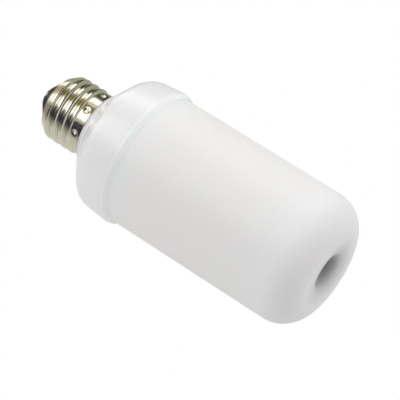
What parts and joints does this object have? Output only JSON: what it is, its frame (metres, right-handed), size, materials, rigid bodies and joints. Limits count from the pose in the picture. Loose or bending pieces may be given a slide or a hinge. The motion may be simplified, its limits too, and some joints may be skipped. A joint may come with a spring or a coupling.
{
  "type": "flame effect led bulb",
  "caption": "Long cylindrical LED bulb: E27 screw cap, glossy white housing with a flared collar, frosted tube diffuser with a dished head, and the light engine and driver inside.",
  "frame": {"origin": "centre of the ring that the bulb's head stands on", "axes": "+Z along the bulb's axis, from the head to the screw cap"},
  "size_m": [0.0549, 0.0548, 0.1302],
  "materials": {
    "nickel_plate": "bright nickel plate on brass, slightly warm",
    "black_insulator": "glossy black",
    "contact_metal": "plated brass with a dull solder spot",
    "white_housing": "smooth gloss white moulding",
    "frosted_diffuser": "frosted milky moulding, faintly translucent",
    "white_core": "plain moulded white",
    "zinc_steel": "zinc-plated",
    "white_board": "white solder mask",
    "led_phosphor": "warm yellow phosphor in a white frame",
    "driver_laminate": "green laminate",
    "capacitor_sleeve": "plain dark sleeve",
    "ferrite": "dark ferrite with a copper winding",
    "resistor_coat": "blue-green coat",
    "chip_epoxy": "black epoxy with tinned legs",
    "ceramic_tan": "tan ceramic",
    "wire_red": "red insulation",
    "wire_blue": "blue insulation",
    "wire_white": "white insulation"
  },
  "bodies": {
    "root": {"screw_shell": "nickel_plate", "base_insulator": "black_insulator", "centre_contact": "contact_metal", "housing": "white_housing", "diffuser": "frosted_diffuser", "led_core": "white_core", "core_screws": "zinc_steel", "side_board": "white_board", "side_leds": "led_phosphor", "end_board": "white_board", "end_leds": "led_phosphor", "driver_board": "driver_laminate", "input_capacitor": "capacitor_sleeve", "output_capacitor": "capacitor_sleeve", "filter_inductor": "ferrite", "buck_inductor": "ferrite", "fusible_resistor": "resistor_coat", "bridge_rectifier": "chip_epoxy", "buck_chip": "chip_epoxy", "flame_controller": "chip_epoxy", "freewheel_diode": "chip_epoxy", "chip_resistors": "chip_epoxy", "chip_capacitors": "ceramic_tan", "live_wire": "wire_red", "neutral_wire": "wire_blue", "panel_leads": "wire_white", "end_leads": "wire_white"}
  },
  "joints": []
}
